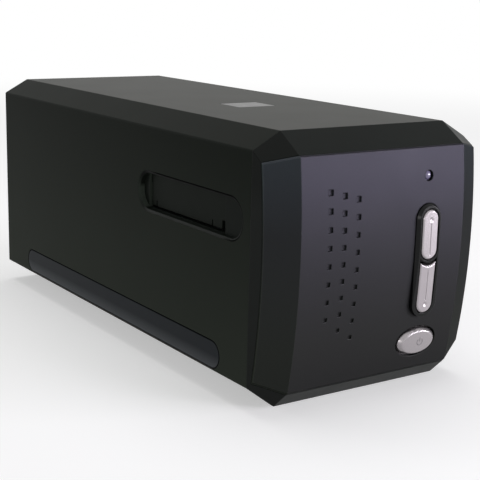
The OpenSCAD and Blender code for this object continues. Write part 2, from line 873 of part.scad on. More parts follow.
module dust_door() {
    low_y = mouth_y - door_w / 2;
    high_y = mouth_y + door_w / 2;
    head_half = mouth_w / 2 - 0.25;
    face_x = door_x + knuckle_r;
    chamber_r = coil_r + coil_wire_r + 0.15;
    chamber_half = coil_len / 2 + 1;
    difference() {
        union() {
            block([face_x - door_t, low_y, door_bottom], [face_x, high_y, door_pivot_z]);
            // wider head with the knuckle and a tail that closes the mouth above it
            block(
                [face_x - 0.9, mouth_y - head_half, door_pivot_z - 2.3],
                [face_x, mouth_y + head_half, door_top]
            );
            bar_y(door_x, door_pivot_z, knuckle_r, mouth_y - head_half, mouth_y + head_half);
            // shallow ribs on the inner face
            for (y = [mouth_y - 20, mouth_y + 20])
                block(
                    [face_x - door_t - 0.6, y - 0.6, door_bottom + 1.5],
                    [face_x - 0.5, y + 0.6, door_pivot_z - 1]
                );
        }
        bar_y(
            door_x, door_pivot_z, hinge_pin_r + running_gap,
            mouth_y - head_half - 1, mouth_y + head_half + 1
        );
        // chamber of the coil, open on top and towards the inside
        bar_y(door_x, door_pivot_z, chamber_r, mouth_y - chamber_half, mouth_y + chamber_half);
        for (cut = [[-3, 0, -3, 3], [-0.1, 1.8, 0, 3]])
            block(
                [door_x + cut[0], mouth_y - chamber_half, door_pivot_z + cut[2]],
                [door_x + cut[1], mouth_y + chamber_half, door_pivot_z + cut[3]]
            );
        // notched front corner and two slits in the lower edge
        block([door_x - 3, low_y - 1, door_bottom - 1], [door_x + 5, low_y + 3.2, door_bottom + 3.8]);
        for (y = [low_y + 11, high_y - 4.4])
            block([door_x - 3, y - 0.4, door_bottom - 1], [door_x + 5, y + 0.4, door_bottom + 2.6]);
    }
}

module left_dust_door() color(moulding_black) mirror([1, 0, 0]) dust_door();
module right_dust_door() color(moulding_black) dust_door();

module hinge_pin() {
    bar_y(door_x, door_pivot_z, hinge_pin_r, mouth_y - mouth_w / 2 - 2.5, mouth_y + mouth_w / 2 + 2.5);
}
module left_hinge_pin() color(steel) mirror([1, 0, 0]) hinge_pin();
module right_hinge_pin() color(steel) hinge_pin();

module door_spring() {
    // the leg rises on the inner side and bears on the frame above the mouth
    leg = [
        [-coil_r - 1, -3.1, coil_len - 0.6],
        [slot_back_x - door_x - coil_wire_r, -4.2, coil_len - 0.4]
    ];
    translate([door_x, mouth_y - coil_len / 2, door_pivot_z]) rotate([-90, 0, 0])
        wire(concat(helix(coil_r, 9.5, coil_len - 1), leg), coil_wire_r);
}
module left_door_spring() color(steel) mirror([1, 0, 0]) door_spring();
module right_door_spring() color(steel) door_spring();

// ---- chassis and film guide ----

module chassis_section(inset) {
    side = chassis_half_w - inset;
    low = 5.5 + inset;
    polygon([
        [-side, chassis_top], [-side, 13.5 + inset * 0.55], [-40 + inset * 0.3, low],
        [40 - inset * 0.3, low], [side, 13.5 + inset * 0.55], [side, chassis_top]
    ]);
}

module chassis() color("#3a3b3e") {
    difference() {
        union() {
            difference() {
                front_slab(chassis_front, chassis_back) chassis_section(0);
                front_slab(chassis_front + 2.5, chassis_back - 2.5)
                    translate([0, 0]) chassis_section_open();
            }
            // ledges for the main board
            for (side = [-1, 1])
                translate([side * (chassis_half_w - 5), 0, 0])
                    block([-5, 42, chassis_top - 2], [5, chassis_back, chassis_top]);
            for (p = deck_posts) pin_z(p[0], p[1], 3, chassis_top - 1, deck_z);
        }
        // lightening windows in the side walls and the end walls
        for (side = [-1, 1], y = [-70 : 44 : 106])
            translate([side * chassis_half_w, y, 44])
                side_slab(-4, 4) pill(34, 26);
        front_slab(chassis_front - 1, chassis_front + 4) translate([0, 50]) square([60, 34], center = true);
        front_slab(chassis_back - 4, chassis_back + 1) translate([0, 50]) square([60, 34], center = true);
        for (side = [-1, 1])
            bar_y(side * rod_x, rod_z, rod_r, chassis_front - 1, chassis_back + 1);
        pin_z(0, pulley_y, 2, 0, 10);
        for (p = case_screw_places) pin_z(p[0], p[1], 1.45, 0, 10);
        for (p = deck_posts) pin_z(p[0], p[1], 1.2, chassis_top - 3, deck_z + 1);
    }
}

module chassis_section_open() {
    chassis_section(2);
    translate([-chassis_half_w + 2, 30]) square([2 * chassis_half_w - 4, 60]);
}

deck_posts = [for (x = [-46, 46], y = [50, 112]) [x, y]];

module film_guide() color("#2c2c2e") {
    outer = mouth_w / 2 + 2.2;
    difference() {
        union() {
            block(
                [0.2 - slot_back_x, mouth_y - outer, chassis_top],
                [slot_back_x - 0.2, mouth_y + outer, guide_floor_z]
            );
            for (end = [-1, 1]) {
                wall_y = mouth_y + end * (mouth_w / 2 + 1.1);
                block([-47, wall_y - 1.1, guide_floor_z - 1], [47, wall_y + 1.1, 86.8]);
                // lip that holds the film holder down
                lip_y = mouth_y + end * (mouth_w / 2 - 0.5);
                block([-34, lip_y - 1, 85.4], [34, lip_y + 1, 86.8]);
            }
        }
        // window for the light
        block([-21, scan_y - carriage_travel - 5, 60], [21, scan_y + 5, 80]);
        // room for the nose of the detent lever
        block([-4, mouth_y + mouth_w / 2 - 1, 75.5], [4, mouth_y + mouth_w / 2 + 4, 81.5]);
    }
}

detent_pivot = [18, mouth_y + mouth_w / 2 + 6];
module detent_lever() color("#55565a") {
    wall_y = mouth_y + mouth_w / 2;
    difference() {
        union() {
            pin_z(detent_pivot[0], detent_pivot[1], 3.2, 76, 81);
            block([-2.5, wall_y + 4.6, 76], [detent_pivot[0], wall_y + 7.2, 81]);
            block([-2.5, wall_y + 1.2, 76], [2.5, wall_y + 5, 81]);
            pin_z(0, wall_y + 1.2, 2, 76, 81);
        }
        pin_z(detent_pivot[0], detent_pivot[1], 1.5 + running_gap, 70, 90);
    }
}

module detent_pin() color(steel) {
    pin_z(detent_pivot[0], detent_pivot[1], 1.5, 75, 82.4);
    pin_z(detent_pivot[0], detent_pivot[1], 2.6, 81.4, 82.4);
    // foot that ties the pin to the guide's wall
    block(
        [detent_pivot[0] - 3, mouth_y + mouth_w / 2 + 2.2, 73.2],
        [detent_pivot[0] + 3, detent_pivot[1] + 3, 75.2]
    );
}

module detent_spring() color(steel) {
    wall_y = mouth_y + mouth_w / 2;
    block([-14, wall_y + 2.2, 77], [-12.6, wall_y + 9.4, 80]);
    block([-13.6, wall_y + 9, 77], [6, wall_y + 9.4, 80]);
}

module guide_rod(side) color(steel) {
    bar_y(side * rod_x, rod_z, rod_r, chassis_front, chassis_back);
}
module left_guide_rod() guide_rod(-1);
module right_guide_rod() guide_rod(1);

// ---- scan carriage ----

bush_places = [for (x = [-rod_x, rod_x], y = [-50, 62]) [x, y]];
bush_len = 14;
lens_front = 12;
lens_back = 38;

module carriage_tub() color("#232325") {
    mirror_back = scan_y + optic_z - 1.5 * sqrt(2);
    difference() {
        union() {
            difference() {
                block([-tub_half_w, tub_front, tub_z], [tub_half_w, tub_back, tub_top]);
                block(
                    [-tub_half_w + 2.5, tub_front + 2.5, tub_z + 2.5],
                    [tub_half_w - 2.5, tub_back - 2.5, tub_top + 1]
                );
            }
            for (p = bush_places)
                translate([p[0], p[1], rod_z])
                    block([-6, 0, -6], [6, bush_len, 6]);
            // wedges under the mirror
            for (side = [-1, 1])
                translate([side * 14, 0, 0]) side_slab(-2, 2) polygon([
                    [tub_front + 2, tub_z + 2], [tub_front + 2, mirror_back - tub_front - 2],
                    [mirror_back - tub_z - 2, tub_z + 2]
                ]);
            // saddle of the lens
            block([-14, lens_front + 2, tub_z + 2], [14, lens_front + 18, optic_z]);
            // slots of the sensor board
            for (side = [-1, 1])
                translate([side * 34, 0, 0]) block([-2.5, 69.5, tub_z + 2], [2.5, 76, tub_top - 4]);
            // clamp on the belt and flag of the home sensor
            block([belt_r - 2.4, 10, 11.5], [belt_r + 3.6, 22, tub_z + 1]);
            block([-25.4, 64, 12], [-24.6, 78, tub_z + 1]);
        }
        for (p = bush_places)
            bar_y(p[0], rod_z, bush_r, p[1] - 1, p[1] + bush_len + 1);
        bar_y(0, optic_z, 10, lens_front, lens_front + 30);
        block([-33, 71.9, tub_z + 4], [33, 73.7, tub_top + 1]);
        block([belt_r - 0.3, 9, belt_z - 0.6], [belt_r + belt_t + 0.3, 23, belt_z + belt_w + 0.8]);
    }
}

module carriage_lid() color("#2b2b2d") {
    difference() {
        block([-tub_half_w, tub_front, tub_top], [tub_half_w, tub_back, tub_top + 2]);
        block([-19, scan_y - 1.6, tub_top - 1], [19, scan_y + 1.6, tub_top + 3]);
        // bevelled mouth of the slit
        side_slab(-20, 20) polygon([
            [scan_y - 3.2, tub_top + 2.1], [scan_y + 3.2, tub_top + 2.1],
            [scan_y + 1.4, tub_top + 0.8], [scan_y - 1.4, tub_top + 0.8]
        ]);
    }
}

module carriage_bushes() color("#b08d4a") {
    for (p = bush_places) difference() {
        bar_y(p[0], rod_z, bush_r, p[1], p[1] + bush_len);
        bar_y(p[0], rod_z, rod_r + running_gap, p[1] - 1, p[1] + bush_len + 1);
    }
}

module lamp_arm() color("#2b2b2d") {
    spine_y = 14;
    arm_front = scan_y - 12;
    difference() {
        union() {
            block([-30, spine_y, tub_top + 2], [30, spine_y + 4, arm_z + 12]);
            for (x = [-28, 0, 28])
                side_slab(x - 1.2, x + 1.2) polygon([
                    [spine_y + 3, tub_top + 2], [spine_y + 14, tub_top + 2],
                    [spine_y + 3, arm_z]
                ]);
            block([-30, spine_y, tub_top + 2], [30, spine_y + 16, tub_top + 4.5]);
            block([-arm_half_w, arm_front, arm_z], [arm_half_w, spine_y + 1, arm_z + 14]);
        }
        block(
            [-arm_half_w + 2, arm_front + 2, arm_z + 3.6],
            [arm_half_w - 2, spine_y - 4, arm_z + 12]
        );
        block([-23.2, scan_y - 7.2, arm_z - 1], [23.2, scan_y + 7.2, arm_z + 4]);
        // vents over the lamp
        for (x = [-18 : 6 : 18])
            block([x - 1.2, scan_y - 6, arm_z + 10], [x + 1.2, scan_y + 6, arm_z + 15]);
    }
}

module lamp_board() color(board_green) {
    block([-23, scan_y - 7, arm_z + 8], [23, scan_y + 7, arm_z + 9.6]);
    for (x = [-19.25 : 5.5 : 19.25])
        block([x - 1.2, scan_y - 1.2, arm_z + 7.2], [x + 1.2, scan_y + 1.2, arm_z + 8]);
    // posts that hold the board off the arm's floor
    for (x = [-21, 21])
        pin_z(x, scan_y - 4, 1.5, arm_z + 3.6, arm_z + 8);
}

module lamp_diffuser() color("#e6e6e0") {
    block([-23, scan_y - 7, arm_z + 1], [23, scan_y + 7, arm_z + 3.6]);
}

module fold_mirror() color("#c9d2d6") {
    translate([0, scan_y, optic_z]) rotate([-45, 0, 0])
        block([-20, -11, -1.5], [20, 11, 0]);
}

module lens_barrel() color("#1d1d1f") {
    difference() {
        union() {
            bar_y(0, optic_z, 10, lens_front, lens_front + 18);
            bar_y(0, optic_z, 7.6, lens_front + 17, lens_back);
            for (y = [lens_front + 19 : 1.6 : lens_back - 2])
                bar_y(0, optic_z, 8, y, y + 0.8);
        }
        bar_y(0, optic_z, 6.5, lens_front - 1, lens_front + 9);
        bar_y(0, optic_z, 4.5, lens_front + 8, lens_back + 1);
    }
}

module lens_glass() color("#a9c4c9") {
    r = 6.5;
    curve_r = 18;
    arc = [for (i = [0 : 5]) [r * i / 5, sqrt(pow(curve_r, 2) - pow(r * i / 5, 2)) - curve_r]];
    front = [for (p = arc) [p[0], -p[1]]];
    back = [for (i = [5 : -1 : 0]) [arc[i][0], 8 + arc[i][1]]];
    translate([0, lens_front + 0.4, optic_z]) rotate([-90, 0, 0])
        rotate_extrude() polygon(concat(front, back));
}

module sensor_board() color(board_green) {
    block([-32.5, 72, tub_z + 4.5], [32.5, 73.6, tub_top - 1]);
    block([-12, 73.6, tub_top - 12], [12, 77.5, tub_top - 6]);
}

module image_sensor() color("#3d3c44") {
    difference() {
        block([-23, 68.6, optic_z - 5], [23, 72, optic_z + 5]);
        block([-20, 68, optic_z - 2], [20, 69.2, optic_z + 2]);
    }
}

// ---- drive ----

module belt_loop(grow, z0, height) {
    r = belt_r + grow;
    translate([0, 0, z0]) linear_extrude(height) {
        translate([-r, idler_y]) square([2 * r, pulley_y - idler_y]);
        translate([0, idler_y]) circle(r = r);
        translate([0, pulley_y]) circle(r = r);
    }
}

module drive_belt() color(rubber_black) {
    difference() {
        belt_loop(belt_t, belt_z, belt_w);
        belt_loop(0.05, belt_z - 1, belt_w + 2);
    }
}

module pulley_body(y) {
    pin_z(0, y, belt_r, belt_z - 0.5, belt_z + belt_w + 0.5);
    pin_z(0, y, belt_r + 1.5, belt_z - 1, belt_z - 0.2);
    pin_z(0, y, belt_r + 1.5, belt_z + belt_w + 0.2, belt_z + belt_w + 0.8);
}

module drive_pulley() color("#d8d4c6") {
    difference() {
        union() {
            pulley_body(pulley_y);
            translate([0, pulley_y, 9.5]) rotate(90) linear_extrude(3)
                polygon(gear_outline(gear_teeth));
            pin_z(0, pulley_y, 5, 8, belt_z);
        }
        pin_z(0, pulley_y, 2 + running_gap, 0, 30);
        // web holes in the gear
        for (a = [0 : 60 : 300])
            translate([0, pulley_y, 0]) rotate(a) pin_z(10, 0, 1.6, 9, 12.9);
    }
}

module drive_axle() color(steel) {
    pin_z(0, pulley_y, 2, 5.5, 21.2);
}

module idler_pulley() color("#d8d4c6") {
    difference() {
        pulley_body(idler_y);
        pin_z(0, idler_y, 2 + running_gap, 0, 30);
    }
}

module idler_bracket() color(steel) {
    difference() {
        union() {
            block([-7, idler_y - 8, chassis_floor], [7, idler_y + 12, chassis_floor + 1.5]);
            block([-7, idler_y - 9.2, chassis_floor], [7, idler_y - 7.8, chassis_floor + 5]);
            pin_z(0, idler_y, 3, chassis_floor, belt_z - 1.2);
        }
        translate([0, idler_y + 7, 0]) block([-1.6, -3, 7], [1.6, 3, 10]);
    }
    pin_z(0, idler_y, 2, chassis_floor, 21);
}

module tension_spring() color(steel) {
    translate([0, idler_y - 11.1, chassis_floor + 3]) rotate([-90, 0, 0])
        wire(helix(1.6, 2, 1.6), 0.25);
}

module motor_bracket() color(steel) {
    difference() {
        union() {
            block([-20, pulley_y + 9.4, motor_z - 1.5], [20, 116, motor_z]);
            for (x = [-20, 16.5], y = [pulley_y + 11, 112])
                block([x, y, chassis_floor], [x + 3.5, y + 4, motor_z - 1]);
        }
        pin_z(0, pinion_y, 5.2, 10, motor_z + 1);
    }
}

module stepper_motor() color("#8b8d90") {
    difference() {
        union() {
            pin_z(0, pinion_y, motor_r, motor_z, motor_z + 15);
            pin_z(0, pinion_y, 5, motor_z - 1.5, motor_z);
            for (side = [-1, 1])
                pin_z(side * 17, pinion_y, 3.2, motor_z, motor_z + 1);
            block([-17, pinion_y - 3.2, motor_z], [17, pinion_y + 3.2, motor_z + 1]);
        }
        pin_z(0, pinion_y, 1 + running_gap, motor_z - 2, motor_z + 12);
        for (side = [-1, 1]) pin_z(side * 17, pinion_y, 1.5, motor_z - 1, motor_z + 2);
    }
}

module motor_shaft() color(steel) {
    pin_z(0, pinion_y, 1, 8.4, motor_z + 10);
}

module motor_pinion() color("#c9b46a") {
    difference() {
        union() {
            translate([0, pinion_y, 9.3]) rotate(-90 + 180 / pinion_teeth)
                linear_extrude(3.4) polygon(gear_outline(pinion_teeth));
            pin_z(0, pinion_y, 3, 12.7, 15);
        }
        pin_z(0, pinion_y, 1, 0, 30);
    }
}

module home_sensor() color("#28282c") {
    block([-29.5, 66, chassis_floor], [-20.5, 78, chassis_floor + 3]);
    for (x = [-29.5, -24])
        block([x, 69, chassis_floor], [x + 3.5, 75, 19]);
}

// ---- electronics ----

usb_x = 16;
power_x = -14;
usb_z = deck_z + board_t + 5.6;

module main_board() color(board_green) {
    difference() {
        block([-49, 36, deck_z], [49, 129, deck_z + board_t]);
        for (p = deck_posts) pin_z(p[0], p[1], 1.5, deck_z - 1, deck_z + 3);
    }
    // processor, memory, regulator and the connectors of the inner cables
    for (chip = [[-20, 66, 22, 22, 1.6], [12, 70, 12, 18, 1.4], [30, 100, 9, 9, 2], [-38, 96, 8, 14, 1.5]])
        translate([chip[0], chip[1], deck_z + board_t]) cube([chip[2], chip[3], chip[4]]);
    for (x = [-36, -8, 20])
        block([x, 39, deck_z + board_t], [x + 16, 44, deck_z + board_t + 5]);
    for (x = [-40, -30]) pin_z(x, 118, 4, deck_z + board_t, deck_z + board_t + 9);
}

module board_screws() color(steel) {
    for (p = deck_posts)
        translate([p[0], p[1], deck_z + board_t + 1.4]) screw(2.6, 1.4, 1.2, 7);
}

module usb_socket() color(steel) {
    back = rear_y - 17;
    mouth = rear_y - 0.6;
    difference() {
        block([usb_x - 6, back, usb_z - 5.6], [usb_x + 6, mouth, usb_z + 5.4]);
        difference() {
            translate([usb_x, 0, usb_z]) front_slab(mouth - 9, mouth + 1) polygon([
                [-4.25, -3.9], [4.25, -3.9], [4.25, 2.2], [2.6, 3.9], [-2.6, 3.9], [-4.25, 2.2]
            ]);
            block([usb_x - 2.8, back, usb_z - 1.6], [usb_x + 2.8, mouth - 1, usb_z + 1.6]);
        }
    }
}

module power_socket() color(moulding_black) {
    back = rear_y - 15;
    mouth = rear_y - 0.6;
    difference() {
        union() {
            block([power_x - 4.5, back, usb_z - 5.6], [power_x + 4.5, rear_y - 3.6, usb_z + 5]);
            bar_y(power_x, usb_z, 4.4, rear_y - 4, mouth);
        }
        difference() {
            bar_y(power_x, usb_z, 3.1, mouth - 9.5, mouth + 1);
            bar_y(power_x, usb_z, 1.05, back, mouth - 1);
        }
    }
}

base_tray();
housing_cover();
rear_panel();
front_bezel();
front_panel();
button_surround();
left_slot_frame();
right_slot_frame();
left_dust_door();
right_dust_door();
left_hinge_pin();
right_hinge_pin();
left_door_spring();
right_door_spring();
left_grip_inlay();
right_grip_inlay();
top_badge_plate();
rubber_feet();
case_screws();
rear_screws();
upper_scan_button();
lower_scan_button();
power_button();
power_light();
button_board();
button_switches();
chassis();
film_guide();
detent_lever();
detent_pin();
detent_spring();
left_guide_rod();
right_guide_rod();
carriage_tub();
carriage_lid();
carriage_bushes();
lamp_arm();
lamp_board();
lamp_diffuser();
fold_mirror();
lens_barrel();
lens_glass();
sensor_board();
image_sensor();
drive_belt();
drive_pulley();
drive_axle();
idler_pulley();
idler_bracket();
tension_spring();
motor_bracket();
stepper_motor();
motor_shaft();
motor_pinion();
home_sensor();
main_board();
board_screws();
usb_socket();
power_socket();
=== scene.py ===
"""Film negative scanner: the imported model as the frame, with materials, the mark on the power
button, light and camera. All lengths are metres in the frame of the CAD, whose X points to the
right, Y to the back and Z up."""

from math import asin, cos, pi, radians, sin, sqrt

import bmesh
import bpy
from mathutils import Matrix, Vector


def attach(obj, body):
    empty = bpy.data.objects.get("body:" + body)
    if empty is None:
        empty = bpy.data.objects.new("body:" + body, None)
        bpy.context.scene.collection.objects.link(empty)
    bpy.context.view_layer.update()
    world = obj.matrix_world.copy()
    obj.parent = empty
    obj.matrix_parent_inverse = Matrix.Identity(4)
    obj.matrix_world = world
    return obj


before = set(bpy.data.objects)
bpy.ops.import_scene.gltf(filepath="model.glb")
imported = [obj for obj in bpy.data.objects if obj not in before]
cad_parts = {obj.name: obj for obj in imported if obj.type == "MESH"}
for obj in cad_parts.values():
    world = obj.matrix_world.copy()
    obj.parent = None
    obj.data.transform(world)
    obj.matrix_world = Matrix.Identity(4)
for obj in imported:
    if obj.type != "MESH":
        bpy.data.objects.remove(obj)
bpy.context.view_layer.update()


# ---- materials ----

# Values between which most of a noise lies
NOISE_RANGE = (0.3, 0.7)

# Sockets of a Mix node that mixes colours
MIX_AMOUNT, MIX_FIRST, MIX_SECOND, MIX_RESULT = 0, 6, 7, 2

# How far a surface looks along an axis where painted light and shade start and where they are
# complete
LOOKS_SIDEWAYS = (0.2, 0.6)
LOOKS_FORWARDS = (-0.2, -0.5)
LOOKS_DOWN = (-0.05, -0.3)
LOOKS_UP = (0.865, 0.99)

# Agreement of the softened and the true normal where a painted edge highlight starts and is
# complete
EDGE_HIGHLIGHT_BEND = (0.99, 0.95)
EDGE_HIGHLIGHT_FADE = 0.0005

# A painted seam shadow along the upper and front half ends at a line that leans by this slope
SEAM_SHADOW_LEAN = 0.3
SEAM_SHADOW_FADE = 0.002
SEAM_SHADOW_TINT = (0.2, 0.2, 0.2)

BEVEL_SAMPLES = 6


class Look:
    """A node-based material: a Principled shader with its grain, variation and soft edges."""

    def __init__(self, name, color, roughness, metallic=0.0, specular=0.5):
        self.mat = bpy.data.materials.new(name)
        self.mat.use_nodes = True
        self.mat.diffuse_color = (*color, 1)
        self.tree = self.mat.node_tree
        self.shader = self.tree.nodes["Principled BSDF"]
        self.set("Base Color", (*color, 1))
        self.set("Roughness", roughness)
        self.set("Metallic", metallic)
        self.set("Specular IOR Level", specular)
        self.color = color
        self.roughness = roughness
        self.coord = self.node("ShaderNodeTexCoord").outputs["Object"]
        self.base = None
        self.normal = None
        self.seam_shadow_mask = None

    def set(self, socket, value):
        """A value that is the same all over the surface."""
        self.shader.inputs[socket].default_value = value
        return self

    def node(self, kind, **values):
        n = self.tree.nodes.new(kind)
        for key, value in values.items():
            setattr(n, key, value)
        return n

    def link(self, source, target):
        self.tree.links.new(source, target)

    def noise(self, size_mm, detail=2.0, stretch=None):
        """Noise whose features are about size_mm across."""
        n = self.node("ShaderNodeTexNoise")
        n.inputs["Scale"].default_value = 1000.0 / size_mm
        n.inputs["Detail"].default_value = detail
        if stretch:
            mapping = self.node("ShaderNodeMapping")
            mapping.inputs["Scale"].default_value = stretch
            self.link(self.coord, mapping.inputs["Vector"])
            self.link(mapping.outputs["Vector"], n.inputs["Vector"])
        else:
            self.link(self.coord, n.inputs["Vector"])
        return n.outputs["Fac"]

    def spread(self, value, low, high, start, end):
        """From low to high while the value goes from start to end."""
        m = self.node("ShaderNodeMapRange")
        m.inputs["From Min"].default_value = start
        m.inputs["From Max"].default_value = end
        m.inputs["To Min"].default_value = low
        m.inputs["To Max"].default_value = high
        self.link(value, m.inputs["Value"])
        return m.outputs["Result"]

    def mask(self, value, start, end):
        """From 0 to 1 while the value goes from start to end."""
        return self.spread(value, 0, 1, start, end)

    def math(self, operation, a, b=0.0):
        n = self.node("ShaderNodeMath", operation=operation)
        self.link(a, n.inputs[0])
        if isinstance(b, float):
            n.inputs[1].default_value = b
        else:
            self.link(b, n.inputs[1])
        return n.outputs[0]

    def true_normal(self):
        return self.node("ShaderNodeNewGeometry").outputs["Normal"]

    def part_of(self, vector, axis):
        parts = self.node("ShaderNodeSeparateXYZ")
        self.link(vector, parts.inputs[0])
        return parts.outputs[axis]

    def facing(self, axis):
        """How far the surface looks along an axis, from -1 to 1."""
        return self.part_of(self.true_normal(), axis)

    def along(self, axis):
        """Place along an axis."""
        return self.part_of(self.coord, axis)

    def vary(self, size_mm, amount, detail=3.0):
        """Slow variation between the colour and a darker one."""
        darker = tuple(c * (1 - amount) for c in self.color)
        mix = self.node("ShaderNodeMix", data_type="RGBA")
        mix.inputs[MIX_FIRST].default_value = (*self.color, 1)
        mix.inputs[MIX_SECOND].default_value = (*darker, 1)
        self.link(self.mask(self.noise(size_mm, detail), *NOISE_RANGE), mix.inputs[MIX_AMOUNT])
        self.base = mix.outputs[MIX_RESULT]
        self.link(self.base, self.shader.inputs["Base Color"])
        return self

    def tint(self, amount, factor):
        """Varied colour times a factor, as far as amount says."""
        mix = self.node("ShaderNodeMix", data_type="RGBA", blend_type="MULTIPLY")
        mix.inputs[MIX_SECOND].default_value = (*factor, 1)
        self.link(amount, mix.inputs[MIX_AMOUNT])
        self.link(self.base, mix.inputs[MIX_FIRST])
        self.base = mix.outputs[MIX_RESULT]
        self.link(self.base, self.shader.inputs["Base Color"])
        return self

    def painted_light_by_height(self, other, low, high):
        """Painted light and shade by height: another colour below one height, and its own above
        another.
        """
        factor = [b / a for a, b in zip(self.color, other)]
        return self.tint(self.mask(self.along("Z"), high, low), factor)

    def sideways(self):
        return self.mask(self.math("ABSOLUTE", self.facing("X")), *LOOKS_SIDEWAYS)

    def painted_side_shade(self, factor):
        """Painted shade where the surface looks to either side."""
        return self.tint(self.sideways(), factor)

    def painted_high_side_light_and_shade(self, factor, low, high):
        """Painted light and shade where the surface looks to either side, from one height to
        another: a painted highlight where the factor is above one, painted shade where it is below.
        """
        raised = self.mask(self.along("Z"), low, high)
        return self.tint(self.math("MULTIPLY", self.sideways(), raised), factor)

    def painted_front_highlight(self, factor):
        """Painted highlight where the surface looks to the front."""
        return self.tint(self.mask(self.facing("Y"), *LOOKS_FORWARDS), factor)

    def painted_top_sheen(self, factor):
        """Painted sheen where the surface looks up."""
        return self.tint(self.mask(self.facing("Z"), *LOOKS_UP), factor)

    def painted_under_shade(self, factor):
        """Painted shade where the surface looks down."""
        return self.tint(self.mask(self.facing("Z"), *LOOKS_DOWN), factor)

    def painted_edge_highlight(self, factor, x, z):
        """Painted highlight on edges farther out than x or higher than z; comes after soft_edges.
        """
        bend = self.node("ShaderNodeVectorMath", operation="DOT_PRODUCT")
        self.link(self.normal, bend.inputs[0])
        self.link(self.true_normal(), bend.inputs[1])
        edge = self.mask(bend.outputs["Value"], *EDGE_HIGHLIGHT_BEND)
        out = self.mask(self.math("ABSOLUTE", self.along("X")), x, x + EDGE_HIGHLIGHT_FADE)
        high = self.mask(self.along("Z"), z, z + EDGE_HIGHLIGHT_FADE)
        return self.tint(self.math("MULTIPLY", edge, self.math("MAXIMUM", out, high)), factor)

    def seam(self, outline, width, upper_front_only=False):
        """Painted shadow in a seam: darker and rough inside a long round-ended outline on the side;
        comes before scuff.
        """
        y, z, straight, radius = outline
        back = self.math("SUBTRACT", self.along("Y"), y)
        rise = self.math("SUBTRACT", self.along("Z"), z)
        past = self.math("SUBTRACT", self.math("ABSOLUTE", back), straight / 2)
        past = self.math("MAXIMUM", past, 0.0)
        squares = [self.math("MULTIPLY", v, v) for v in (past, rise)]
        reach = self.math("SQRT", self.math("ADD", *squares))
        self.seam_shadow_mask = self.mask(reach, radius - width, radius - width / 2)
        if upper_front_only:
            lean = self.math("SUBTRACT", rise, self.math("MULTIPLY", back, SEAM_SHADOW_LEAN))
            self.seam_shadow_mask = self.math("MULTIPLY", self.seam_shadow_mask, self.mask(lean, -SEAM_SHADOW_FADE, SEAM_SHADOW_FADE))
        return self.tint(self.seam_shadow_mask, SEAM_SHADOW_TINT)

    def scuff(self, size_mm, amount):
        """Variation of the roughness."""
        low, high = self.roughness - amount, self.roughness + amount
        value = self.spread(self.noise(size_mm, 3), low, high, *NOISE_RANGE)
        if self.seam_shadow_mask:
            value = self.math("MAXIMUM", value, self.seam_shadow_mask)
        self.link(value, self.shader.inputs["Roughness"])
        return self

    def soft_edges(self, radius_mm):
        """Shading of edges as if they were rounded."""
        bevel = self.node("ShaderNodeBevel", samples=BEVEL_SAMPLES)
        bevel.inputs["Radius"].default_value = radius_mm / 1000
        self.normal = bevel.outputs["Normal"]
        self.link(self.normal, self.shader.inputs["Normal"])
        return self

    def grain(self, size_mm, depth_mm, strength=0.5, stretch=None):
        """Fine relief, over the soft edges if there are any."""
        bump = self.node("ShaderNodeBump")
        bump.inputs["Strength"].default_value = strength
        bump.inputs["Distance"].default_value = depth_mm / 1000
        self.link(self.noise(size_mm, stretch=stretch), bump.inputs["Height"])
        if self.normal:
            self.link(self.normal, bump.inputs["Normal"])
        self.normal = bump.outputs["Normal"]
        self.link(self.normal, self.shader.inputs["Normal"])
        return self


# Outlines on the side: Y and Z of the middle, length of the straight part, radius of the ends
RECESS_OUTLINE = (-0.06965, 0.0814, 0.0695, 0.0098)
GRIP_OUTLINE = (0.0044, 0.0185, 0.1924, 0.0063)

# The face's painted edge highlights lie farther out and higher than its dimples and buttons
DIMPLES_OUT, DIMPLES_TOP = 0.034, 0.099

shell = Look("shell_black", (0.0086, 0.0108, 0.0084), 0.42, specular=0.014)
# Painted light: the side much lighter towards the bottom, and a painted sheen on the top
shell.vary(60, 0.05).painted_light_by_height((0.031, 0.0365, 0.029), 0.005, 0.115)
shell.painted_top_sheen((7.5, 6.1, 7.1))
shell.scuff(25, 0.008).soft_edges(0.5).grain(0.35, 0.012, 0.3)

bezel = Look("bezel_black", (0.0072, 0.0088, 0.0076), 0.36, specular=0.034)
# Painted shade on the upper parts that look to either side
bezel.vary(30, 0.1).painted_high_side_light_and_shade((0.3, 0.35, 0.3), 0.088, 0.1)
bezel.scuff(10, 0.02).soft_edges(0.35).grain(0.3, 0.01, 0.2)

recess = Look("recess_black", (0.0085, 0.0108, 0.0088), 0.34, specular=0.022)
# Painted shade where the recess looks down, a painted highlight where it looks to the front, and a
# painted shadow line along its upper and front edge
recess.vary(20, 0.1).painted_under_shade((0.2, 0.2, 0.2)).painted_front_highlight((5.6, 5.4, 5.4))
recess.seam(RECESS_OUTLINE, 0.0009, upper_front_only=True)
recess.scuff(8, 0.02).soft_edges(0.2).grain(0.35, 0.01, 0.25)

door = Look("door_black", (0.0076, 0.0099, 0.0076), 0.42, specular=0.025)
door.vary(15, 0.1).scuff(6, 0.03).soft_edges(0.25).grain(0.35, 0.012, 0.3)

collar = Look("collar_black", (0.0045, 0.005, 0.005), 0.24, specular=0.16)
collar.vary(12, 0.1).scuff(4, 0.02).soft_edges(0.45).grain(0.3, 0.006, 0.15)

face = Look("face_plum_lacquer", (0.0246, 0.0236, 0.0302), 0.49, metallic=0.8, specular=0.12)
face.set("Specular Tint", (0.35, 0.35, 0.35, 1))
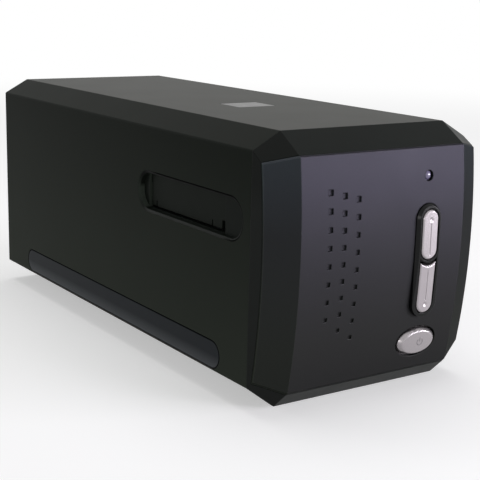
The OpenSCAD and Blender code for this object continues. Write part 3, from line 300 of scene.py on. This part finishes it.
# Painted light: the lit violet tone turns neutral grey towards the bottom; painted shade on the
# side facets, a painted highlight high on them, and painted highlights on the outer and upper edges
face.vary(0.25, 0.16, detail=1).painted_light_by_height((0.0266, 0.0268, 0.027), 0.03, 0.095)
face.painted_side_shade((0.64, 0.74, 0.6)).painted_high_side_light_and_shade((1.45, 1.65, 1.68), 0.078, 0.107)
face.scuff(14, 0.012).soft_edges(0.6).painted_edge_highlight((1.9, 1.9, 1.8), DIMPLES_OUT, DIMPLES_TOP)
face.grain(0.22, 0.006, 0.18)

inlay = Look("inlay_slate", (0.0215, 0.0248, 0.028), 0.42, metallic=0.1, specular=0.025)
# Painted light: lighter towards the bottom; a painted shadow in the seam round the inlay
inlay.vary(0.25, 0.15, detail=1).painted_light_by_height((0.088, 0.094, 0.1), 0.0122, 0.0185)
inlay.seam(GRIP_OUTLINE, 0.0006)
inlay.scuff(10, 0.02).soft_edges(0.6).grain(0.25, 0.008, 0.2)

scan_silver = Look("button_silver_lacquer", (0.4, 0.37, 0.385), 0.26, metallic=0.75)
scan_silver.vary(0.15, 0.05, detail=1).scuff(6, 0.01).soft_edges(0.45).grain(0.18, 0.004, 0.15)

power_silver = Look("power_silver_lacquer", (0.375, 0.35, 0.36), 0.24, metallic=0.8)
power_silver.vary(0.15, 0.05, detail=1).scuff(6, 0.01).soft_edges(0.8).grain(0.18, 0.004, 0.15)

badge = Look("badge_grey", (0.165, 0.165, 0.16), 0.5, metallic=0.3)
badge.vary(5, 0.08).scuff(3, 0.05).soft_edges(0.2).grain(0.2, 0.01, 0.2, stretch=(1, 14, 1))

lens_tint = Look("light_lens", (0.16, 0.14, 0.24), 0.12, specular=0.6)
lens_tint.vary(0.8, 0.3).scuff(1, 0.04).set("Coat Weight", 0.5).set("Coat Roughness", 0.08)

ink = Look("mark_ink", (0.13, 0.125, 0.13), 0.35, metallic=0.3)
ink.vary(0.3, 0.2).grain(0.15, 0.004, 0.2)

rubber = Look("rubber_black", (0.012, 0.012, 0.012), 0.8, specular=0.25)
rubber.vary(3, 0.3).grain(0.4, 0.03, 0.6)

steel = Look("steel_bright", (0.52, 0.52, 0.53), 0.32, metallic=1.0)
steel.vary(6, 0.15).scuff(2, 0.08).soft_edges(0.12).grain(0.3, 0.006, 0.3, stretch=(6, 1, 1))

zinc = Look("steel_zinc", (0.42, 0.42, 0.40), 0.42, metallic=0.9)
zinc.vary(4, 0.25).scuff(3, 0.08).soft_edges(0.2).grain(0.6, 0.01, 0.3)

board = Look("circuit_board", (0.014, 0.075, 0.032), 0.35)
board.vary(1.2, 0.45).scuff(2, 0.08).soft_edges(0.1).grain(0.8, 0.03, 0.4)

chassis_grey = Look("chassis_grey", (0.032, 0.033, 0.036), 0.5, specular=0.35)
chassis_grey.vary(20, 0.25).scuff(6, 0.06).soft_edges(0.3).grain(0.4, 0.02, 0.4)

guide_black = Look("guide_black", (0.011, 0.011, 0.012), 0.38, specular=0.35)
guide_black.vary(12, 0.3).scuff(5, 0.05).soft_edges(0.3).grain(0.3, 0.012, 0.3)

optic_black = Look("optics_black", (0.006, 0.006, 0.0065), 0.75, specular=0.2)
optic_black.vary(10, 0.3).soft_edges(0.3).grain(0.4, 0.03, 0.5)

bronze = Look("bronze", (0.50, 0.33, 0.13), 0.38, metallic=1.0)
bronze.vary(2, 0.3).scuff(1, 0.1).soft_edges(0.15).grain(0.25, 0.012, 0.5)

diffuser = Look("diffuser_white", (0.78, 0.78, 0.74), 0.6)
diffuser.vary(5, 0.06).grain(0.3, 0.01, 0.3)

mirror = Look("mirror_coat", (0.82, 0.83, 0.84), 0.03, metallic=1.0)
mirror.vary(14, 0.05).scuff(8, 0.02)

glass = Look("lens_coated", (0.55, 0.70, 0.72), 0.03)
glass.vary(3, 0.1).set("Transmission Weight", 0.9)

sensor = Look("sensor_package", (0.02, 0.02, 0.024), 0.25)
sensor.vary(2, 0.3).scuff(2, 0.05).soft_edges(0.1)

acetal = Look("acetal", (0.62, 0.59, 0.50), 0.4)
acetal.vary(4, 0.1).scuff(3, 0.05).soft_edges(0.12).grain(0.5, 0.01, 0.3)

switch = Look("switch_black", (0.03, 0.03, 0.032), 0.4)
switch.vary(2, 0.3).scuff(2, 0.05).soft_edges(0.12)

NODES_BY_LOOK = {
    shell: ["base_tray", "housing_cover", "rear_panel"],
    recess: ["left_slot_frame", "right_slot_frame"],
    door: ["left_dust_door", "right_dust_door"],
    bezel: ["front_bezel", "power_socket", "home_sensor"],
    collar: ["button_surround"],
    face: ["front_panel"],
    inlay: ["left_grip_inlay", "right_grip_inlay"],
    scan_silver: ["upper_scan_button", "lower_scan_button"],
    power_silver: ["power_button"],
    badge: ["top_badge_plate"],
    rubber: ["rubber_feet", "drive_belt"],
    steel: [
        "case_screws", "rear_screws", "board_screws", "left_hinge_pin", "right_hinge_pin",
        "left_door_spring", "right_door_spring", "detent_pin", "detent_spring",
        "left_guide_rod", "right_guide_rod", "drive_axle", "tension_spring", "motor_shaft",
        "usb_socket",
    ],
    zinc: ["idler_bracket", "motor_bracket", "stepper_motor"],
    lens_tint: ["power_light"],
    board: ["button_board", "sensor_board", "main_board", "lamp_board"],
    chassis_grey: ["chassis", "detent_lever"],
    guide_black: ["film_guide"],
    optic_black: ["carriage_tub", "carriage_lid", "lamp_arm", "lens_barrel"],
    bronze: ["carriage_bushes", "motor_pinion"],
    diffuser: ["lamp_diffuser"],
    mirror: ["fold_mirror"],
    glass: ["lens_glass"],
    sensor: ["image_sensor"],
    acetal: ["drive_pulley", "idler_pulley"],
    switch: ["button_switches"],
}
for look, names in NODES_BY_LOOK.items():
    for name in names:
        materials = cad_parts[name].data.materials
        materials.clear()
        materials.append(look.mat)


# ---- the mark on the power button ----

# Radius of the bowed face, the height of the bow's axis, and Y of the face at that height
FACE_BOW = 0.319
FACE_BOW_Z = 0.071
FACE_Y = -0.136

# Middle of the mark, its ring's radius, half of the ring's gap, and the ends of its bar
MARK_X, MARK_Z = 0.0250, 0.0230
RING_RADIUS = 0.00155
RING_HALF_GAP = radians(38)
RING_STEPS = 32
BAR = [(0, 0.0002), (0, 0.0012), (0, 0.0021)]

# Width of a stroke at its foot, the part of it that is its crown, and both heights
STROKE_WIDTH = 0.00042
STROKE_CROWN = 0.55
STROKE_FOOT, STROKE_TOP = 0.00158, 0.00164


def on_face(x, z):
    """Place on the bowed face, with its Z axis out of the face and its Y axis up along it."""
    tilt = asin((z - FACE_BOW_Z) / FACE_BOW)
    y = FACE_Y + FACE_BOW - sqrt(FACE_BOW ** 2 - (z - FACE_BOW_Z) ** 2)
    return Matrix.Translation((x, y, z)) @ Matrix.Rotation(pi / 2 - tilt, 4, "X")


def stroke(mesh, middle):
    """Raised stroke along flat points: its crown is narrower than its foot."""
    section = [
        (-1, STROKE_FOOT), (-STROKE_CROWN, STROKE_TOP), (STROKE_CROWN, STROKE_TOP), (1, STROKE_FOOT)
    ]
    rows = []
    for i, point in enumerate(middle):
        before = middle[max(i - 1, 0)]
        after = middle[min(i + 1, len(middle) - 1)]
        along = (Vector(after) - Vector(before)).normalized()
        across = Vector((-along.y, along.x))
        row = []
        for side, height in section:
            corner = Vector(point) + across * STROKE_WIDTH / 2 * side
            row.append(mesh.verts.new((corner.x, corner.y, height)))
        rows.append(row)
    for a, b in zip(rows, rows[1:]):
        for k in range(4):
            after = (k + 1) % 4
            mesh.faces.new((a[k], a[after], b[after], b[k]))
    mesh.faces.new(rows[0])
    mesh.faces.new(reversed(rows[-1]))


def power_mark():
    """Plain on and off symbol in dark lacquer."""
    mesh = bmesh.new()
    ring = []
    for i in range(RING_STEPS + 1):
        angle = pi / 2 + RING_HALF_GAP + (2 * pi - 2 * RING_HALF_GAP) * i / RING_STEPS
        ring.append((cos(angle) * RING_RADIUS, sin(angle) * RING_RADIUS))
    stroke(mesh, ring)
    stroke(mesh, BAR)
    mesh.transform(on_face(MARK_X, MARK_Z))
    bmesh.ops.recalc_face_normals(mesh, faces=mesh.faces)
    data = bpy.data.meshes.new("power_mark")
    mesh.to_mesh(data)
    mesh.free()
    data.materials.append(ink.mat)
    mark = bpy.data.objects.new("power_mark", data)
    bpy.context.scene.collection.objects.link(mark)
    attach(mark, "power_key")


power_mark()


# ---- floor and world ----

FLOOR_SIZE = 80
FLOOR_TONE = 0.75
FLOOR_LIFT = 0.42
# Distances between which the floor turns from its own tone to plain white
FLOOR_NEAR, FLOOR_FAR = 0.35, 1.6

WORLD_LIGHT = 0.22
WHITE = (1, 1, 1, 1)


def add(tree, kind, *sources, **settings):
    """New node whose first inputs are linked to the sources."""
    n = tree.nodes.new(kind)
    for key, value in settings.items():
        setattr(n, key, value)
    for i, source in enumerate(sources):
        tree.links.new(source, n.inputs[i])
    return n


def glow_mask(tree):
    """1 for rays from the camera, from gloss or through glass, which see a white background."""
    path = add(tree, "ShaderNodeLightPath")
    last = path.outputs["Is Camera Ray"]
    for name in ["Is Glossy Ray", "Is Transmission Ray"]:
        last = add(
            tree, "ShaderNodeMath", last, path.outputs[name], operation="MAXIMUM"
        ).outputs[0]
    return last


def studio_floor():
    """Pale floor that keeps the shadow near the object and turns to plain white further out."""
    bpy.ops.mesh.primitive_plane_add(size=FLOOR_SIZE, location=(0, 0, 0))
    floor = bpy.context.object
    floor.name = "floor"
    mat = bpy.data.materials.new("floor_pale")
    mat.use_nodes = True
    tree = mat.node_tree
    tree.nodes.clear()
    diffuse = add(tree, "ShaderNodeBsdfDiffuse")
    diffuse.inputs["Color"].default_value = (FLOOR_TONE, FLOOR_TONE, FLOOR_TONE, 1)
    lift = add(tree, "ShaderNodeEmission")
    lift.inputs["Strength"].default_value = FLOOR_LIFT
    near = add(tree, "ShaderNodeAddShader", diffuse.outputs[0], lift.outputs[0])
    far = add(tree, "ShaderNodeEmission")
    coord = add(tree, "ShaderNodeTexCoord")
    reach = add(tree, "ShaderNodeVectorMath", coord.outputs["Object"], operation="LENGTH")
    fade = add(
        tree, "ShaderNodeMapRange", reach.outputs["Value"], interpolation_type="SMOOTHSTEP"
    )
    fade.inputs["From Min"].default_value = FLOOR_NEAR
    fade.inputs["From Max"].default_value = FLOOR_FAR
    seen = add(tree, "ShaderNodeMixShader", fade.outputs[0], near.outputs[0], far.outputs[0])
    mix = add(tree, "ShaderNodeMixShader", glow_mask(tree), diffuse.outputs[0], seen.outputs[0])
    add(tree, "ShaderNodeOutputMaterial", mix.outputs[0])
    floor.data.materials.append(mat)


def studio_world():
    """Soft light from all sides, which looks white to the camera and in gloss."""
    world = bpy.data.worlds.new("studio")
    bpy.context.scene.world = world
    world.use_nodes = True
    tree = world.node_tree
    tree.nodes.clear()
    light = add(tree, "ShaderNodeBackground")
    light.inputs["Color"].default_value = WHITE
    light.inputs["Strength"].default_value = WORLD_LIGHT
    white = add(tree, "ShaderNodeBackground")
    white.inputs["Color"].default_value = WHITE
    mix = add(tree, "ShaderNodeMixShader", glow_mask(tree), light.outputs[0], white.outputs[0])
    add(tree, "ShaderNodeOutputWorld", mix.outputs[0])


studio_floor()
studio_world()


# ---- lamps ----

PLAIN = (1, 1, 1)
PINKISH = (1, 0.97, 1.05)

# Name, place, target, size, power in watts and colour
LAMPS = [
    ("overhead", (0.1, 0.25, 1.3), (0, 0, 0.06), (1.0, 1.0), 6, PLAIN),
    ("front_key", (1.02, -1.05, 0.22), (0, -0.1, 0.07), (0.75, 0.36), 17, PINKISH),
    ("front_high", (0.5, -1.3, 0.45), (0, -0.1, 0.1), (0.4, 0.3), 4, PINKISH),
    ("left_fill", (-1.25, -0.95, 0.3), (0, -0.1, 0.08), (0.5, 0.3), 3, PLAIN),
    ("back_fill", (-0.9, 1.2, 0.45), (0, 0.1, 0.06), (0.6, 0.4), 3, PLAIN),
]
for name, place, target, size, power, color in LAMPS:
    light = bpy.data.lights.new(name, "AREA")
    light.shape = "RECTANGLE"
    light.size, light.size_y = size
    light.energy = power
    light.color = color
    lamp = bpy.data.objects.new(name, light)
    bpy.context.scene.collection.objects.link(lamp)
    lamp.location = place
    aim = Vector(target) - Vector(place)
    lamp.rotation_euler = aim.to_track_quat("-Z", "Y").to_euler()
    lamp.visible_camera = False


# ---- camera, from the fit to the photograph ----

IMAGE_PX = 480
FOCAL_PX = 1116.935
SENSOR_MM = 36
NEAREST = 0.01
# Direction of the view: to the right of straight back, below level, and turned about itself
AZIMUTH, DIP, ROLL = 0.5931934521, 0.2240598777, 0.0237937995
# The camera stands back from this point, a little to the right and down in its own view
LOOK_AT = Vector((0, 0, 0.060))
STAND_BACK, TO_RIGHT, DOWN = 0.584054, 0.0142022, 0.0148409

ahead = Vector((sin(AZIMUTH) * cos(DIP), cos(AZIMUTH) * cos(DIP), -sin(DIP)))
level_right = Vector((cos(AZIMUTH), -sin(AZIMUTH), 0))
level_up = level_right.cross(ahead)
camera_right = level_right * cos(ROLL) + level_up * sin(ROLL)
camera_up = level_up * cos(ROLL) - level_right * sin(ROLL)
camera_place = LOOK_AT - ahead * STAND_BACK + camera_right * TO_RIGHT - camera_up * DOWN
camera_turn = Matrix((camera_right, camera_up, -ahead)).transposed().to_4x4()

lens = bpy.data.cameras.new("camera")
lens.sensor_width = SENSOR_MM
lens.lens = FOCAL_PX / IMAGE_PX * SENSOR_MM
lens.clip_start = NEAREST
camera = bpy.data.objects.new("camera", lens)
bpy.context.scene.collection.objects.link(camera)
camera.matrix_world = Matrix.Translation(camera_place) @ camera_turn
bpy.context.scene.camera = camera
bpy.context.scene.view_settings.view_transform = "Standard"
